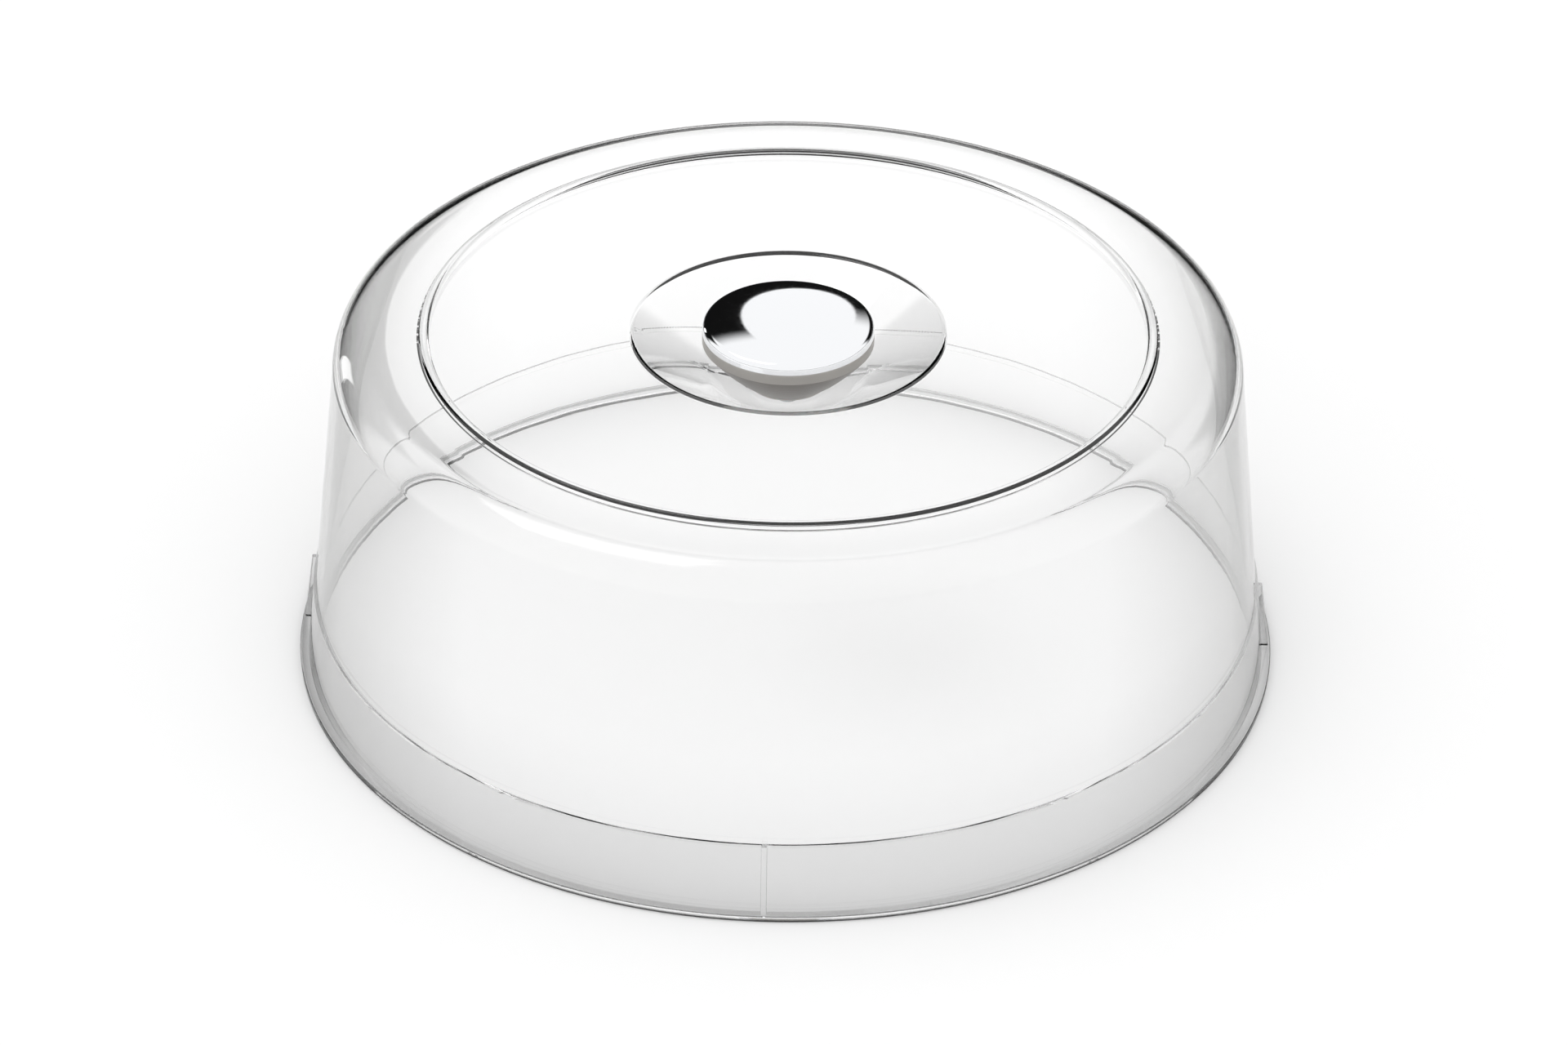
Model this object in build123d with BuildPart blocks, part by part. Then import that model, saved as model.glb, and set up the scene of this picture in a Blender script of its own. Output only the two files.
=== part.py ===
from build123d import *
import os
from math import asin, atan2, cos, degrees, hypot, radians, sin, sqrt, tan

os.makedirs("parts", exist_ok=True)

# Food cover: a clear moulded dome that is set down over a plate, with a knob that stands
# in a sunk finger well so that its cap hardly rises above the top.
# Sizes are in millimetres and angles in degrees. +Z is up, and the origin is on the axis
# of the dome, in the plane that its rim rests on.

# Wall of the moulding, the same all over
wall_thickness = 2.3
wall_taper = 5.65

# Rim: a lip that stands out from the foot of the skirt
rim_radius = 150.0
lip_width = 2.7
lip_height = 2.0
lip_edge_radius = 0.5

# Ledge: the skirt below it is a little wider than the wall above
ledge_height = 24.0
ledge_width = 0.7

# Ribs: upright guides on the skirt, from the ledge down to the lip
rib_count = 4
rib_turn = -2.2
rib_width = 1.7
rib_rise = 1.95
rib_setback = 0.8

# Top: a flat border that turns gently down, then a short slope and the round shoulder
top_height = 110.9
border_width = 9.9
crown_slope = 3.0
crown_radius = 120.0
crown_run = 0.7
shoulder_radius = 11.0

# Bead: a raised half-round ring, with the disc inside it a little lower than the border
bead_radius = 2.0
disc_sink = 0.9

# Finger well: a dished hollow with a flat floor, a round bend and a straight slope
well_radius = 47.0
well_depth = 17.6
well_edge_radius = 3.0
well_bend_radius = 20.0
floor_margin = 0.9

# Knob body: a hollow bowl on a round foot, with a boss and webs inside
foot_radius = 12.5
foot_edge_radius = 0.6
knob_radius = 25.87
body_height = 16.2
band_height = 3.1
band_edge_radius = 0.5
bowl_bulge = 0.6
knob_wall = 2.4
boss_radius = 6.0
web_count = 4
web_thickness = 1.6

# Knob cap: a domed cap that stands on the body's rim and is centred by a ring inside it
cap_side_height = 3.2
cap_edge_radius = 2.0
cap_crown = 2.2
cap_thickness = 1.6
spigot_gap = 0.4
spigot_thickness = 1.3
spigot_fit = 0.15

# Fastening: one M4 screw from below, through washers, into a brass insert
screw_radius = 2.0
screw_length = 12.0
screw_tip_chamfer = 0.5
head_radius = 4.0
head_height = 3.1
head_edge_radius = 1.4
recess_width = 1.1
recess_span = 4.4
recess_depth = 1.7
shank_clearance = 0.3
thread_fit = 0.05
gasket_thickness = 0.7
gasket_margin = 0.5
seal_radius = 6.5
seal_thickness = 1.0
washer_radius = 6.0
washer_thickness = 1.0
insert_radius = 3.0
insert_length = 8.0
insert_depth = 0.4
insert_groove_width = 1.4
insert_groove_depth = 0.4
insert_fit = 0.02
bore_tip_gap = 1.0

# Heights of the stack on the axis, from the disc of the top down to the screw head
disc_height = top_height - disc_sink
floor_height = disc_height - well_depth
foot_height = floor_height + gasket_thickness
floor_underside = floor_height - wall_thickness
seal_underside = floor_underside - seal_thickness
washer_underside = seal_underside - washer_thickness
hole_radius = screw_radius + shank_clearance


def lean(height, taper):
    """Sideways run of a wall of this height that leans by taper degrees."""
    return height * tan(radians(taper))


# Radii of the outer line of the dome, from the rim up to the ledge
skirt_foot_radius = rim_radius - lip_width
skirt_top_radius = skirt_foot_radius - lean(ledge_height - lip_height, wall_taper)
wall_foot_radius = skirt_top_radius - ledge_width

# The crown's slope, between the corners that its two roundings are drawn on
crown_corner_run = crown_radius * tan(radians(crown_slope / 2))
shoulder_corner_run = shoulder_radius * tan(radians((90 - wall_taper - crown_slope) / 2))
slope_length = crown_corner_run + crown_run + shoulder_corner_run
corner_height = top_height - slope_length * sin(radians(crown_slope))
corner_radius = wall_foot_radius - lean(corner_height - ledge_height, wall_taper)
crown_start_radius = corner_radius - slope_length * cos(radians(crown_slope))
bead_ring_radius = crown_start_radius - crown_corner_run - border_width

# The well's slope runs from its edge and touches the round bend of the floor
flat_floor_radius = foot_radius + floor_margin
bend_run = well_radius - flat_floor_radius
bend_drop = well_depth - well_bend_radius
well_slope = atan2(bend_drop, bend_run) + asin(well_bend_radius / hypot(bend_run, bend_drop))
floor_corner_radius = well_radius - well_depth / tan(well_slope)

# Dome: one even wall, drawn as the outline with a smaller copy of it cut out. The outline
# runs past the axis and below the rim, and what lies there is cut off square.
overrun = 2 * wall_thickness
with BuildPart() as dome_shell:
    with BuildSketch(Plane.XZ) as wall_section:
        with BuildLine():
            outer_line = FilletPolyline(
                (-overrun, floor_height),
                (floor_corner_radius, floor_height),
                (well_radius, disc_height),
                (bead_ring_radius, disc_height),
                (bead_ring_radius, top_height),
                (crown_start_radius, top_height),
                (corner_radius, corner_height),
                (wall_foot_radius, ledge_height),
                (skirt_top_radius, ledge_height),
                (skirt_foot_radius + lean(lip_height + overrun, wall_taper), -overrun),
                radius=(well_bend_radius, well_edge_radius, 0, 0, crown_radius, shoulder_radius, 0, 0),
            )
            Polyline(outer_line @ 0, (-overrun, -overrun), outer_line @ 1)
        make_face()
        offset(amount=-wall_thickness, mode=Mode.SUBTRACT)
        with Locations((hole_radius, 0)):
            Rectangle(rim_radius, top_height, align=Align.MIN, mode=Mode.INTERSECT)
    revolve(axis=Axis.Z)

    # The raised bead covers the small step between the border and the sunk disc
    with BuildSketch(Plane.XZ):
        with BuildLine():
            bead_arc = CenterArc((bead_ring_radius, disc_height), bead_radius, 0, 180)
            Line(bead_arc @ 0, bead_arc @ 1)
        make_face()
    revolve(axis=Axis.Z)

    # The lip runs round the foot of the skirt, and starts half way through its wall
    with BuildSketch(Plane.XZ) as lip_section:
        with Locations((rim_radius, 0)):
            Rectangle(lip_width + wall_thickness / 2, lip_height, align=(Align.MAX, Align.MIN))
        fillet(lip_section.vertices().group_by(Axis.X)[-1], lip_edge_radius)
    revolve(axis=Axis.Z)

    # Each rib is an upright web from inside the skirt's wall to its own sloping edge
    with BuildSketch(Plane.XZ):
        with BuildLine():
            Polyline(
                (skirt_top_radius - wall_thickness / 2, ledge_height),
                (wall_foot_radius + rib_rise, ledge_height),
                (rim_radius - rib_setback, lip_height),
                (rim_radius - rib_setback, lip_height / 2),
                (skirt_foot_radius - wall_thickness / 2, lip_height / 2),
                close=True,
            )
        make_face()
    rib = extrude(amount=rib_width / 2, both=True, mode=Mode.PRIVATE)
    with PolarLocations(0, rib_count, start_angle=rib_turn):
        add(rib)
dome_shell.part.label = "dome_shell"
export_step(dome_shell.part, "parts/dome_shell.step")

# Knob body: the bowl, hollowed round a boss that the webs join to its wall
body_rim_height = foot_height + body_height
band_base_height = body_rim_height - band_height
insert_base_height = foot_height + insert_depth
insert_top_height = insert_base_height + insert_length
screw_tip_height = washer_underside + screw_length
bore_top_height = max(insert_top_height, screw_tip_height) + bore_tip_gap
boss_top_height = bore_top_height + knob_wall
inner_foot_radius = foot_radius - knob_wall / 2
inner_rim_radius = knob_radius - knob_wall
inner_band_height = band_base_height + knob_wall / 2

with BuildPart() as knob_body:
    with BuildSketch(Plane.XZ):
        with BuildLine():
            bowl = SagittaArc((foot_radius, foot_height), (knob_radius, band_base_height), bowl_bulge)
            Polyline(
                bowl @ 1, (knob_radius, body_rim_height), (0, body_rim_height), (0, foot_height), bowl @ 0
            )
        make_face()
    revolve(axis=Axis.Z)
    edges_by_height = knob_body.edges().filter_by(GeomType.CIRCLE).group_by(Axis.Z)
    fillet(edges_by_height[0], foot_edge_radius)
    band_edges = knob_body.edges().filter_by(GeomType.CIRCLE).group_by(Axis.Z)[-2]
    fillet(band_edges, band_edge_radius)
    with BuildSketch(Plane.XZ):
        with BuildLine():
            Polyline(
                (boss_radius, foot_height + knob_wall),
                (inner_foot_radius, foot_height + knob_wall),
                (inner_rim_radius, inner_band_height),
                (inner_rim_radius, body_rim_height),
                (0, body_rim_height),
                (0, boss_top_height),
                (boss_radius, boss_top_height),
                close=True,
            )
        make_face()
    revolve(axis=Axis.Z, mode=Mode.SUBTRACT)
    with BuildSketch(Plane.XZ):
        with BuildLine():
            Polyline(
                (boss_radius - knob_wall / 2, foot_height + knob_wall / 2),
                (inner_foot_radius, foot_height + knob_wall / 2),
                (inner_rim_radius, inner_band_height),
                (boss_radius, boss_top_height),
                (boss_radius - knob_wall / 2, boss_top_height),
                close=True,
            )
        make_face()
    web = extrude(amount=web_thickness / 2, both=True, mode=Mode.PRIVATE)
    with PolarLocations(0, web_count):
        add(web)
    with BuildSketch(Plane.XY.offset(foot_height)):
        Circle(insert_radius + insert_fit)
    extrude(amount=bore_top_height - foot_height, mode=Mode.SUBTRACT)
knob_body.part.label = "knob_body"
export_step(knob_body.part, "parts/knob_body.step")

# Knob cap: a shallow dome with a rounded edge, hollow below, with its centring ring
cap_edge_height = body_rim_height + cap_side_height
cap_top_height = cap_edge_height + cap_crown
crown_arc_radius = (knob_radius**2 + cap_crown**2) / (2 * cap_crown)
crown_centre_height = cap_top_height - crown_arc_radius
spigot_radius = inner_rim_radius - spigot_fit
spigot_base_height = inner_band_height + spigot_gap
cap_inner_radius = spigot_radius - spigot_thickness


def crown_height(radius, inset):
    """Height of the crown's arc at this radius, inset below its outer skin."""
    return crown_centre_height + sqrt((crown_arc_radius - inset) ** 2 - radius**2)


with BuildPart() as knob_cap:
    with BuildSketch(Plane.XZ) as cap_section:
        with BuildLine():
            ThreePointArc(
                (0, cap_top_height),
                (knob_radius / 2, crown_height(knob_radius / 2, 0)),
                (knob_radius, cap_edge_height),
            )
            ThreePointArc(
                (0, cap_top_height - cap_thickness),
                (cap_inner_radius / 2, crown_height(cap_inner_radius / 2, cap_thickness)),
                (cap_inner_radius, crown_height(cap_inner_radius, cap_thickness)),
            )
            Line((0, cap_top_height), (0, cap_top_height - cap_thickness))
            Polyline(
                (knob_radius, cap_edge_height),
                (knob_radius, body_rim_height),
                (spigot_radius, body_rim_height),
                (spigot_radius, spigot_base_height),
                (cap_inner_radius, spigot_base_height),
                (cap_inner_radius, crown_height(cap_inner_radius, cap_thickness)),
            )
        make_face()
        fillet(cap_section.vertices().group_by(Axis.X)[-1].sort_by(Axis.Y)[-1], cap_edge_radius)
    revolve(axis=Axis.Z)
knob_cap.part.label = "knob_cap"
export_step(knob_cap.part, "parts/knob_cap.step")

# Threaded insert: a brass bush with one groove round it for the moulding to grip
with BuildPart() as threaded_insert:
    with BuildSketch(Plane.XY.offset(insert_base_height)):
        Circle(insert_radius)
        Circle(screw_radius + thread_fit, mode=Mode.SUBTRACT)
    extrude(amount=insert_length)
    with BuildSketch(Plane.XY.offset(insert_base_height + (insert_length - insert_groove_width) / 2)):
        Circle(insert_radius)
        Circle(insert_radius - insert_groove_depth, mode=Mode.SUBTRACT)
    extrude(amount=insert_groove_width, mode=Mode.SUBTRACT)
threaded_insert.part.label = "threaded_insert"
export_step(threaded_insert.part, "parts/threaded_insert.step")


def ring_sketch(radius):
    """A flat ring of this radius with the shank's clearance hole in it."""
    Circle(radius)
    Circle(hole_radius, mode=Mode.SUBTRACT)


# Foot gasket: a soft disc between the knob's foot and the floor of the well
with BuildPart() as foot_gasket:
    with BuildSketch(Plane.XY.offset(floor_height)):
        ring_sketch(foot_radius - gasket_margin)
    extrude(amount=gasket_thickness)
foot_gasket.part.label = "foot_gasket"
export_step(foot_gasket.part, "parts/foot_gasket.step")

# Seal washer: a soft washer that keeps the steel off the clear moulding
with BuildPart() as seal_washer:
    with BuildSketch(Plane.XY.offset(seal_underside)):
        ring_sketch(seal_radius)
    extrude(amount=seal_thickness)
seal_washer.part.label = "seal_washer"
export_step(seal_washer.part, "parts/seal_washer.step")

# Steel washer: a large flat washer under the screw's head
with BuildPart() as steel_washer:
    with BuildSketch(Plane.XY.offset(washer_underside)):
        ring_sketch(washer_radius)
    extrude(amount=washer_thickness)
steel_washer.part.label = "steel_washer"
export_step(steel_washer.part, "parts/steel_washer.step")

# Fixing screw: a pan head with a cross recess, and a plain cylinder for its thread
with BuildPart() as fixing_screw:
    with BuildSketch(Plane.XY.offset(washer_underside - head_height)):
        Circle(head_radius)
    extrude(amount=head_height)
    fillet(fixing_screw.edges().filter_by(GeomType.CIRCLE).group_by(Axis.Z)[0], head_edge_radius)
    with BuildSketch(Plane.XY.offset(washer_underside)):
        Circle(screw_radius)
    extrude(amount=screw_length)
    chamfer(fixing_screw.edges().filter_by(GeomType.CIRCLE).group_by(Axis.Z)[-1], screw_tip_chamfer)
    with BuildSketch(Plane.XY.offset(washer_underside - head_height)):
        Rectangle(recess_span, recess_width)
        Rectangle(recess_width, recess_span)
    extrude(amount=recess_depth, mode=Mode.SUBTRACT)
fixing_screw.part.label = "fixing_screw"
export_step(fixing_screw.part, "parts/fixing_screw.step")

print(f"overall {2 * rim_radius:.1f} across and {cap_top_height:.1f} high")
print(f"well slope {degrees(well_slope):.1f} degrees, floor at {floor_height:.1f}")
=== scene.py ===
# %% [markdown]
# # A clear food cover with a chrome knob
#
# The cover is one clear moulding: a drum with a rounded shoulder, a raised ring on its top and a
# finger well in the middle. A small knob stands in the well, and one screw holds it from below.
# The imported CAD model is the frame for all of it. It gives every size and place, and here each
# visible piece gets a finer skin and a real material. Sizes are written in millimetres, as on a
# drawing, and turned to metres where a mesh is made. A name with _R at its end is a distance from
# the axis, and one with _Z is a height.

import math

import bmesh
import bpy
from mathutils import Matrix, Vector


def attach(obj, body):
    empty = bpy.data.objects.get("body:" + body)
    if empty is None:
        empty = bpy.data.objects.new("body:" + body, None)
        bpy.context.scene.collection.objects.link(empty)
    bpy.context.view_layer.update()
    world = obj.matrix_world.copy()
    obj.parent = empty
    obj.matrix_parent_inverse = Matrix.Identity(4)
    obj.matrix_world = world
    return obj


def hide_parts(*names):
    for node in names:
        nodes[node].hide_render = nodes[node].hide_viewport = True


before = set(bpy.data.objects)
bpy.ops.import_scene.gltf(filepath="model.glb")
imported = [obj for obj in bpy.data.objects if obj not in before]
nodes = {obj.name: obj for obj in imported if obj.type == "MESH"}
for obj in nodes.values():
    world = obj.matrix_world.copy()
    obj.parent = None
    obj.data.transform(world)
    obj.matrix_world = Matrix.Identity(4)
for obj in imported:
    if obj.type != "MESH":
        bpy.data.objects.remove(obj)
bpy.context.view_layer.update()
print("nodes:", ", ".join(sorted(nodes)))

# %% [markdown]
# ## The camera
#
# The photograph looks down on the cover at about 33 degrees, through a long lens, so its ellipses
# are nearly the same shape at the rim and at the top. The camera could be set by eye, but a clear
# object shows many ellipses one through another, and they only fall in the right places from the
# right height and distance. So its place, lens and small roll were worked out from the ellipses of
# the rim, the ledge, the raised ring and the well.

# %% Place the camera
MM = 0.001
LENS = 135.68
LOOK_DOWN = 32.647
ROLL = 0.528
CAMERA_PLACE = (-0.76, -1524.27, 1017.86)

camera_data = bpy.data.cameras.new("photo_camera")
camera_data.lens = LENS
camera_data.sensor_width = 36
camera_data.clip_start = 0.05
camera_data.clip_end = 50
camera = bpy.data.objects.new("photo_camera", camera_data)
bpy.context.scene.collection.objects.link(camera)
tilt = Matrix.Rotation(math.radians(90 - LOOK_DOWN), 4, "X")
roll = Matrix.Rotation(math.radians(ROLL), 4, "Z")
camera.matrix_world = Matrix.Translation(Vector(CAMERA_PLACE) * MM) @ tilt @ roll
bpy.context.scene.camera = camera
bpy.context.scene.view_settings.view_transform = "Standard"
print("camera looks down", LOOK_DOWN, "degrees from", round(camera.location.length, 3), "m")

# %% [markdown]
# ## Helpers for materials
#
# Colours are picked as they look on a screen, which is sRGB, while the shader works in linear
# light. One function turns a hex value into linear numbers. A second one adds a node, sets its
# values and joins its inputs, so each material below reads as a short list of what it is made of.

# %% Colour and node helpers
# A Mix node has a set of sockets for each kind of value, and these are the ones for colours
COLOUR_A, COLOUR_B, MIXED = 6, 7, 2


def linear(hex_colour):
    """A screen colour such as #C8C8C8 as linear red, green, blue and 1."""
    parts = [int(hex_colour[i:i + 2], 16) / 255 for i in (1, 3, 5)]
    return [c / 12.92 if c <= 0.04045 else ((c + 0.055) / 1.055) ** 2.4 for c in parts] + [1.0]


def add_node(tree, kind, settings=None, links=None):
    """Adds a node. A setting or a link goes to the input socket of that name or number, and a
    setting that names no socket is a property of the node."""
    node = tree.nodes.new(kind)
    for name, value in (settings or {}).items():
        if isinstance(name, int) or name in node.inputs:
            node.inputs[name].default_value = value
        else:
            setattr(node, name, value)
    for name, source in (links or {}).items():
        tree.links.new(source, node.inputs[name])
    return node


def new_material(name):
    """An empty node material, its node tree and its output node."""
    material = bpy.data.materials.new(name)
    material.use_nodes = True
    material.node_tree.nodes.clear()
    return material, material.node_tree, add_node(material.node_tree, "ShaderNodeOutputMaterial")


print("white as linear light:", [round(v, 3) for v in linear("#FDFDFD")])

# %% [markdown]
# ## The studio
#
# A clear object on white is lit as a bright field: what lies behind and below it is white, and its
# edges are drawn by what is dark further out. So the cover stands on a round white table, in an
# even white light, and two curtains of black cloth hang behind it, left and right, out of view. The
# rounded edges of the plastic bend the view so far that they show the cloth, as thin dark lines,
# and the chrome mirrors it. An oval window between the curtains opens on the white wall behind, and
# it makes the light field in the chrome. A window does this better than a lamp before the cloth,
# because a lamp here lets the light behind it through. The curtains thin out to the top and to the
# sides, so no hard edge shows in the plastic. A strip of light at the left and a soft one above
# give the glints on the shoulder.

# %% The table, a round sheet of matt white paper
TABLE_R, TABLE_STEPS = 560, 128

# The sheet lies a hair below the cover's foot, so that no two faces share one plane
TABLE_DROP = 0.2

bm = bmesh.new()
bmesh.ops.create_circle(bm, cap_ends=True, radius=TABLE_R * MM, segments=TABLE_STEPS)
bmesh.ops.translate(bm, verts=bm.verts[:], vec=(0, 0, -TABLE_DROP * MM))
table_mesh = bpy.data.meshes.new("white_table")
bm.to_mesh(table_mesh)
bm.free()
table = bpy.data.objects.new("white_table", table_mesh)
bpy.context.scene.collection.objects.link(table)

paper, tree, output = new_material("matt_white_paper")
sheet = add_node(tree, "ShaderNodeBsdfDiffuse", {"Color": linear("#FCFCFC"), "Roughness": 1.0})
side = add_node(tree, "ShaderNodeNewGeometry")
gone = add_node(tree, "ShaderNodeBsdfTransparent")
open_below = add_node(tree, "ShaderNodeMixShader",
                      links={0: side.outputs["Backfacing"], 1: sheet.outputs[0], 2: gone.outputs[0]})
tree.links.new(open_below.outputs[0], output.inputs["Surface"])
table_mesh.materials.append(paper)
print("table is", 2 * TABLE_R, "mm across, and open to a camera below it")

# %% The white world
WORLD_LIGHT, MIRRORED_WHITE = 1.0, 1.2
BOUNCES, LONGEST_GUIDE = 24, 20

world = bpy.data.worlds.new("white_studio")
bpy.context.scene.world = world
world.use_nodes = True
tree = world.node_tree
tree.nodes.clear()
path = add_node(tree, "ShaderNodeLightPath")
mirrored = add_node(tree, "ShaderNodeMath", {"operation": "MAXIMUM"},
                    {0: path.outputs["Is Glossy Ray"], 1: path.outputs["Is Transmission Ray"]})
strength = add_node(tree, "ShaderNodeMapRange", {"To Min": WORLD_LIGHT, "To Max": MIRRORED_WHITE},
                    {"Value": mirrored.outputs[0]})
white = add_node(tree, "ShaderNodeBackground", {"Color": (1, 1, 1, 1)},
                 {"Strength": strength.outputs[0]})
add_node(tree, "ShaderNodeOutputWorld", links={"Surface": white.outputs[0]})

# Light that is caught in the plastic fades on a long way, so its bounces have a limit
cycles = bpy.context.scene.cycles
cycles.max_bounces = cycles.transmission_bounces = BOUNCES
cycles.glossy_bounces = LONGEST_GUIDE
print("world lights at", WORLD_LIGHT, "and shows in mirrors and through plastic at", MIRRORED_WHITE)


# %% The softboxes
def studio_place(azimuth, elevation, distance):
    """A place round the cover. Azimuth is from the back towards the right, as seen by the camera."""
    a, e = math.radians(azimuth), math.radians(elevation)
    return Vector((math.sin(a) * math.cos(e), math.cos(a) * math.cos(e), math.sin(e))) * distance * MM


def softbox(name, place, wide, tall, level):
    """A soft lamp that faces the cover. Level 1 is as bright as white paper in full light."""
    lamp_data = bpy.data.lights.new(name, "AREA")
    lamp_data.shape = "RECTANGLE"
    lamp_data.size, lamp_data.size_y = wide * MM, tall * MM
    lamp_data.energy = level * math.pi * wide * tall * MM * MM
    lamp = bpy.data.objects.new(name, lamp_data)
    bpy.context.scene.collection.objects.link(lamp)
    lamp.location = place
    lamp.rotation_euler = (-place).to_track_quat("-Z", "Y").to_euler()
    lamp.visible_camera = False
    print(name, "gives", round(lamp_data.energy, 2), "W")


strip_place = studio_place(azimuth=-41.5, elevation=6, distance=3600)
softbox("strip_softbox", strip_place, wide=380, tall=1300, level=2.5)
top_place = studio_place(azimuth=-70, elevation=68, distance=2000)
softbox("top_softbox", top_place, wide=900, tall=900, level=1.6)

# %% Cloth for the curtains
CLOTH_BLACK = "#141414"

# How far to the side the cloth ends, and where it is full
CLOTH_END, CLOTH_FULL = 4100, 3600

# The oval window's middle and half sizes, and its edge's softness as a share of them
WINDOW_X, WINDOW_Z, WINDOW_HALF_WIDE, WINDOW_HALF_TALL = 113, 3014, 667, 1584
WINDOW_SOFT = 0.02

# A ray's way is tested for more than these counts. Each wall of the cover is two skins of plastic.
TWO_SKINS, THREE_SKINS, NO_MIRROR = 2.5, 3.5, 0.5


def curtain_cloth(name, top, soft):
    """Black cloth that thins out to its top and side, with an oval window on the white wall behind.
    A ray that has passed more than two skins finds no window. One that has passed more than three
    and was never mirrored finds no cloth, so the far side of the cover stays clear."""
    cloth, tree, output = new_material(name)
    coords = add_node(tree, "ShaderNodeTexCoord")
    place = add_node(tree, "ShaderNodeSeparateXYZ", links={0: coords.outputs["Object"]})
    below_top = add_node(tree, "ShaderNodeMapRange",
                         {"interpolation_type": "SMOOTHSTEP", "From Min": top * MM,
                          "From Max": (top - soft) * MM}, {"Value": place.outputs["Z"]})
    aside = add_node(tree, "ShaderNodeMath", {"operation": "ABSOLUTE"}, {0: place.outputs["X"]})
    inward = add_node(tree, "ShaderNodeMapRange",
                      {"interpolation_type": "SMOOTHSTEP", "From Min": CLOTH_END * MM,
                       "From Max": CLOTH_FULL * MM}, {"Value": aside.outputs[0]})
    full = add_node(tree, "ShaderNodeMath", {"operation": "MULTIPLY"},
                    {0: below_top.outputs[0], 1: inward.outputs[0]})

    oval = add_node(tree, "ShaderNodeMapping",
                    {"Location": (-WINDOW_X / WINDOW_HALF_WIDE, 0, -WINDOW_Z / WINDOW_HALF_TALL),
                     "Scale": (1 / (WINDOW_HALF_WIDE * MM), 0, 1 / (WINDOW_HALF_TALL * MM))},
                    {"Vector": coords.outputs["Object"]})
    reach = add_node(tree, "ShaderNodeVectorMath", {"operation": "LENGTH"}, {0: oval.outputs[0]})
    beside = add_node(tree, "ShaderNodeMapRange",
                      {"From Min": 1 - WINDOW_SOFT, "From Max": 1 + WINDOW_SOFT},
                      {"Value": reach.outputs["Value"]})
    path = add_node(tree, "ShaderNodeLightPath")
    skins = {0: path.outputs["Transmission Depth"]}
    shut = add_node(tree, "ShaderNodeMath", {"operation": "GREATER_THAN", 1: TWO_SKINS}, skins)
    beside = add_node(tree, "ShaderNodeMath", {"operation": "MAXIMUM"},
                      {0: beside.outputs[0], 1: shut.outputs[0]})

    through = add_node(tree, "ShaderNodeMath", {"operation": "GREATER_THAN", 1: THREE_SKINS}, skins)
    turned = add_node(tree, "ShaderNodeMath", {"operation": "GREATER_THAN", 1: NO_MIRROR},
                      {0: path.outputs["Glossy Depth"]})
    straight = add_node(tree, "ShaderNodeMath", {"operation": "SUBTRACT", "use_clamp": True},
                        {0: through.outputs[0], 1: turned.outputs[0]})
    there = add_node(tree, "ShaderNodeMath", {"operation": "MULTIPLY"},
                     {0: full.outputs[0], 1: beside.outputs[0]})
    there = add_node(tree, "ShaderNodeMath", {"operation": "SUBTRACT", "use_clamp": True},
                     {0: there.outputs[0], 1: straight.outputs[0]})
    black = add_node(tree, "ShaderNodeEmission", {"Color": linear(CLOTH_BLACK), "Strength": 1.0})
    open_air = add_node(tree, "ShaderNodeBsdfTransparent")
    hung = add_node(tree, "ShaderNodeMixShader",
                    links={0: there.outputs[0], 1: open_air.outputs[0], 2: black.outputs[0]})
    tree.links.new(hung.outputs[0], output.inputs["Surface"])
    return cloth


print("window is", 2 * WINDOW_HALF_WIDE, "mm wide and", 2 * WINDOW_HALF_TALL, "mm tall")

# %% Hang the curtains
CURTAIN_R, CURTAIN_FOOT, CURTAIN_STEPS = 4500, -2100, 48


def hang(name, azimuth, turn, top, soft):
    """Hangs a curtain round the table, from an azimuth on, over a turn in degrees."""
    bm = bmesh.new()
    end = studio_place(azimuth, 0, CURTAIN_R)
    foot, head = (bm.verts.new((end.x, end.y, z * MM)) for z in (CURTAIN_FOOT, top))
    bmesh.ops.spin(bm, geom=[foot, head, bm.edges.new((foot, head))], cent=(0, 0, 0), axis=(0, 0, 1),
                   angle=math.radians(-turn), steps=CURTAIN_STEPS, use_merge=False)
    mesh = bpy.data.meshes.new(name)
    bm.to_mesh(mesh)
    bm.free()
    mesh.materials.append(curtain_cloth(name + "_cloth", top, soft))
    curtain = bpy.data.objects.new(name, mesh)
    bpy.context.scene.collection.objects.link(curtain)
    curtain.visible_camera = curtain.visible_diffuse = curtain.visible_shadow = False
    print(name, "is", round((top - CURTAIN_FOOT) * MM, 2), "m high")


hang("left_curtain", azimuth=-66, turn=67.5, top=3950, soft=700)
hang("right_curtain", azimuth=1.5, turn=64.5, top=2900, soft=900)

# %% [markdown]
# ## The clear cover
#
# The real cover is injection moulded in one piece, so its wall is equally thick everywhere and its
# inner skin runs parallel to the outer one. That could be made by thickening a single skin, but the
# ring and the ledge are smaller than the wall, and their offset is easier to control as a drawn
# line. So the section is drawn once as a line of corners, the inner line is set off from it by the
# wall's thickness, each corner is rounded with a bevel, and the section is spun round the axis. The
# spin stops for one narrow step at each rib, because the ribs grow out of those steps.

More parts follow.
